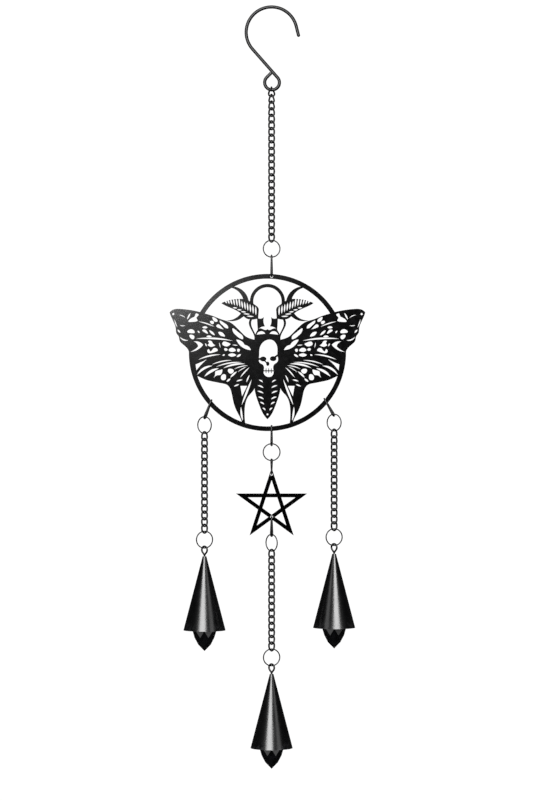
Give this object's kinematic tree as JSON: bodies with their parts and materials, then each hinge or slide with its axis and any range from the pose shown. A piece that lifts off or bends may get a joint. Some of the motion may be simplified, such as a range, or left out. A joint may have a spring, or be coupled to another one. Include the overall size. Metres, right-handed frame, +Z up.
{
  "type": "hanging wind chime",
  "caption": "Hanging wind chime: hook, chains, a round cut-out moth plate, an open star and cone bells with faceted bead clappers.",
  "frame": {"origin": "inside top of the hook, the point that rests on what the chime hangs from", "axes": "+Z up, +X to the right and -Y to the front as the plate is seen from its front"},
  "size_m": [0.1272, 0.0274, 0.4963],
  "materials": {
    "hook_black": "satin black",
    "chain_black": "gunmetal black",
    "ring_steel": "dark steel wire",
    "plate_black": "satin black coating",
    "bell_black": "semi-gloss black",
    "wire_black": "satin black",
    "bead_black": "gloss, faceted"
  },
  "bodies": {
    "hook": {"hook": "hook_black"},
    "top_link": {"top_link": "chain_black"},
    "top_chain_1": {"top_chain_1": "chain_black"},
    "top_chain_2": {"top_chain_2": "chain_black"},
    "top_chain_3": {"top_chain_3": "chain_black"},
    "top_chain_4": {"top_chain_4": "chain_black"},
    "top_ring": {"top_ring": "ring_steel"},
    "top_connector": {"top_connector": "chain_black"},
    "moth_plate": {"moth_plate": "plate_black"},
    "left_connector": {"left_connector": "chain_black"},
    "right_connector": {"right_connector": "chain_black"},
    "centre_connector": {"centre_connector": "chain_black"},
    "left_ring": {"left_ring": "ring_steel"},
    "right_ring": {"right_ring": "ring_steel"},
    "centre_ring": {"centre_ring": "ring_steel"},
    "star_link": {"star_link": "chain_black"},
    "star": {"star": "plate_black"},
    "star_connector": {"star_connector": "chain_black"},
    "star_ring": {"star_ring": "ring_steel"},
    "left_chain_1": {"left_chain_1": "chain_black"},
    "left_chain_2": {"left_chain_2": "chain_black"},
    "left_chain_3": {"left_chain_3": "chain_black"},
    "left_bell_ring": {"left_bell_ring": "ring_steel"},
    "left_bell": {"left_bell_eye": "wire_black", "left_bell_cone": "bell_black"},
    "left_clapper": {"left_bead_pin": "wire_black", "left_bead": "bead_black"},
    "right_chain_1": {"right_chain_1": "chain_black"},
    "right_chain_2": {"right_chain_2": "chain_black"},
    "right_chain_3": {"right_chain_3": "chain_black"},
    "right_bell_ring": {"right_bell_ring": "ring_steel"},
    "right_bell": {"right_bell_eye": "wire_black", "right_bell_cone": "bell_black"},
    "right_clapper": {"right_bead_pin": "wire_black", "right_bead": "bead_black"},
    "centre_chain_1": {"centre_chain_1": "chain_black"},
    "centre_chain_2": {"centre_chain_2": "chain_black"},
    "centre_chain_3": {"centre_chain_3": "chain_black"},
    "centre_bell_ring": {"centre_bell_ring": "ring_steel"},
    "centre_bell": {"centre_bell_eye": "wire_black", "centre_bell_cone": "bell_black"},
    "centre_clapper": {"centre_bead_pin": "wire_black", "centre_bead": "bead_black"}
  },
  "joints": [
    {"name": "top_link_swing", "type": "hinge", "parent": "hook", "child": "top_link", "pos_m": [0, 0, -0.0528], "axis": [1, 0, 0], "range_deg": [-30, 30]},
    {"name": "top_chain_1_swing", "type": "hinge", "parent": "top_link", "child": "top_chain_1", "pos_m": [0, 0, -0.05708], "axis": [-0.9925, 0.1219, 0], "range_deg": [-15, 15]},
    {"name": "top_chain_2_swing", "type": "hinge", "parent": "top_chain_1", "child": "top_chain_2", "pos_m": [0, 0, -0.07726], "axis": [0.7071, 0.7071, 0], "range_deg": [-15, 15]},
    {"name": "top_chain_3_swing", "type": "hinge", "parent": "top_chain_2", "child": "top_chain_3", "pos_m": [0, 0, -0.10438], "axis": [-0.6596, 0.7516, 0], "range_deg": [-15, 15]},
    {"name": "top_chain_4_swing", "type": "hinge", "parent": "top_chain_3", "child": "top_chain_4", "pos_m": [0, 0, -0.12456], "axis": [-0.8124, -0.5831, 0], "range_deg": [-15, 15]},
    {"name": "top_ring_swing", "type": "hinge", "parent": "top_chain_4", "child": "top_ring", "pos_m": [0, 0, -0.15056], "axis": [-0.9903, -0.1392, 0], "range_deg": [-20, 20]},
    {"name": "top_connector_swing", "type": "hinge", "parent": "top_ring", "child": "top_connector", "pos_m": [0, 0, -0.16146], "axis": [0.9903, 0.1392, 0], "range_deg": [-25, 25]},
    {"name": "plate_swing", "type": "hinge", "parent": "top_connector", "child": "moth_plate", "pos_m": [0, 0, -0.17404], "axis": [0, -1, 0], "range_deg": [-20, 20]},
    {"name": "left_connector_swing", "type": "hinge", "parent": "moth_plate", "child": "left_connector", "pos_m": [-0.03899, 0, -0.25429], "axis": [0, 1, 0], "range_deg": [-9, 12]},
    {"name": "left_ring_swing", "type": "hinge", "parent": "left_connector", "child": "left_ring", "pos_m": [-0.04361, 0, -0.26633], "axis": [0.342, 0.9397, 0], "range_deg": [-14, 25]},
    {"name": "left_chain_1_swing", "type": "hinge", "parent": "left_ring", "child": "left_chain_1", "pos_m": [-0.04361, 0, -0.27611], "axis": [0.8192, -0.5736, 0], "range_deg": [-18, 18]},
    {"name": "left_chain_2_swing", "type": "hinge", "parent": "left_chain_1", "child": "left_chain_2", "pos_m": [-0.04361, 0, -0.29649], "axis": [-0.6254, -0.7803, 0], "range_deg": [-18, 18]},
    {"name": "left_chain_3_swing", "type": "hinge", "parent": "left_chain_2", "child": "left_chain_3", "pos_m": [-0.04361, 0, -0.31931], "axis": [-0.7279, 0.6856, 0], "range_deg": [-18, 18]},
    {"name": "left_bell_ring_swing", "type": "hinge", "parent": "left_chain_3", "child": "left_bell_ring", "pos_m": [-0.04361, 0, -0.33969], "axis": [0.9511, 0.309, 0], "range_deg": [-20, 20]},
    {"name": "left_bell_swing", "type": "hinge", "parent": "left_bell_ring", "child": "left_bell", "pos_m": [-0.04361, 0, -0.35059], "axis": [-0.9511, -0.309, 0], "range_deg": [-20, 20]},
    {"name": "left_clapper_swing", "type": "hinge", "parent": "left_bell", "child": "left_clapper", "pos_m": [-0.04361, 0, -0.36937], "axis": [0.766, -0.6428, 0], "range_deg": [-7, 7]},
    {"name": "right_connector_swing", "type": "hinge", "parent": "moth_plate", "child": "right_connector", "pos_m": [0.03428, 0, -0.25346], "axis": [0, -1, 0], "range_deg": [-8, 12]},
    {"name": "right_ring_swing", "type": "hinge", "parent": "right_connector", "child": "right_ring", "pos_m": [0.04063, 0, -0.26469], "axis": [-0.342, -0.9397, 0], "range_deg": [-11, 25]},
    {"name": "right_chain_1_swing", "type": "hinge", "parent": "right_ring", "child": "right_chain_1", "pos_m": [0.04063, 0, -0.27447], "axis": [-0.8192, 0.5736, 0], "range_deg": [-18, 18]},
    {"name": "right_chain_2_swing", "type": "hinge", "parent": "right_chain_1", "child": "right_chain_2", "pos_m": [0.04063, 0, -0.29485], "axis": [0.6617, 0.7498, 0], "range_deg": [-18, 18]},
    {"name": "right_chain_3_swing", "type": "hinge", "parent": "right_chain_2", "child": "right_chain_3", "pos_m": [0.04063, 0, -0.31767], "axis": [0.6874, -0.7262, 0], "range_deg": [-18, 18]},
    {"name": "right_bell_ring_swing", "type": "hinge", "parent": "right_chain_3", "child": "right_bell_ring", "pos_m": [0.04063, 0, -0.33805], "axis": [-0.9613, -0.2756, 0], "range_deg": [-20, 20]},
    {"name": "right_bell_swing", "type": "hinge", "parent": "right_bell_ring", "child": "right_bell", "pos_m": [0.04063, 0, -0.34895], "axis": [0.9613, 0.2756, 0], "range_deg": [-20, 20]},
    {"name": "right_clapper_swing", "type": "hinge", "parent": "right_bell", "child": "right_clapper", "pos_m": [0.04063, 0, -0.36773], "axis": [-0.7431, 0.6691, 0], "range_deg": [-7, 7]},
    {"name": "centre_connector_swing", "type": "hinge", "parent": "moth_plate", "child": "centre_connector", "pos_m": [0, 0, -0.27102], "axis": [0, 1, 0], "range_deg": [-9, 10]},
    {"name": "centre_ring_swing", "type": "hinge", "parent": "centre_connector", "child": "centre_ring", "pos_m": [0, 0, -0.28392], "axis": [-0.1736, -0.9848, 0], "range_deg": [-12, 10]},
    {"name": "star_link_swing", "type": "hinge", "parent": "centre_ring", "child": "star_link", "pos_m": [0, 0, -0.2937], "axis": [1, 0, 0], "range_deg": [-20, 20]},
    {"name": "star_swing", "type": "hinge", "parent": "star_link", "child": "star", "pos_m": [0, 0, -0.30273], "axis": [0, 1, 0], "range_deg": [-12, 12]},
    {"name": "star_connector_swing", "type": "hinge", "parent": "star", "child": "star_connector", "pos_m": [0, 0, -0.33045], "axis": [0, -1, 0], "range_deg": [-15, 15]},
    {"name": "star_ring_swing", "type": "hinge", "parent": "star_connector", "child": "star_ring", "pos_m": [0, 0, -0.34286], "axis": [-0.342, -0.9397, 0], "range_deg": [-25, 25]},
    {"name": "centre_chain_1_swing", "type": "hinge", "parent": "star_ring", "child": "centre_chain_1", "pos_m": [0, 0, -0.35263], "axis": [-0.6691, 0.7431, 0], "range_deg": [-18, 18]},
    {"name": "centre_chain_2_swing", "type": "hinge", "parent": "centre_chain_1", "child": "centre_chain_2", "pos_m": [0, 0, -0.37301], "axis": [0.7036, 0.7106, 0], "range_deg": [-18, 18]},
    {"name": "centre_chain_3_swing", "type": "hinge", "parent": "centre_chain_2", "child": "centre_chain_3", "pos_m": [0, 0, -0.39583], "axis": [-0.6523, 0.758, 0], "range_deg": [-18, 18]},
    {"name": "centre_bell_ring_swing", "type": "hinge", "parent": "centre_chain_3", "child": "centre_bell_ring", "pos_m": [0, 0, -0.41622], "axis": [0.9703, 0.2419, 0], "range_deg": [-20, 20]},
    {"name": "centre_bell_swing", "type": "hinge", "parent": "centre_bell_ring", "child": "centre_bell", "pos_m": [0, 0, -0.42712], "axis": [-0.9703, -0.2419, 0], "range_deg": [-20, 20]},
    {"name": "centre_clapper_swing", "type": "hinge", "parent": "centre_bell", "child": "centre_clapper", "pos_m": [0, 0, -0.44589], "axis": [0.7431, -0.6691, 0], "range_deg": [-7, 7]}
  ]
}
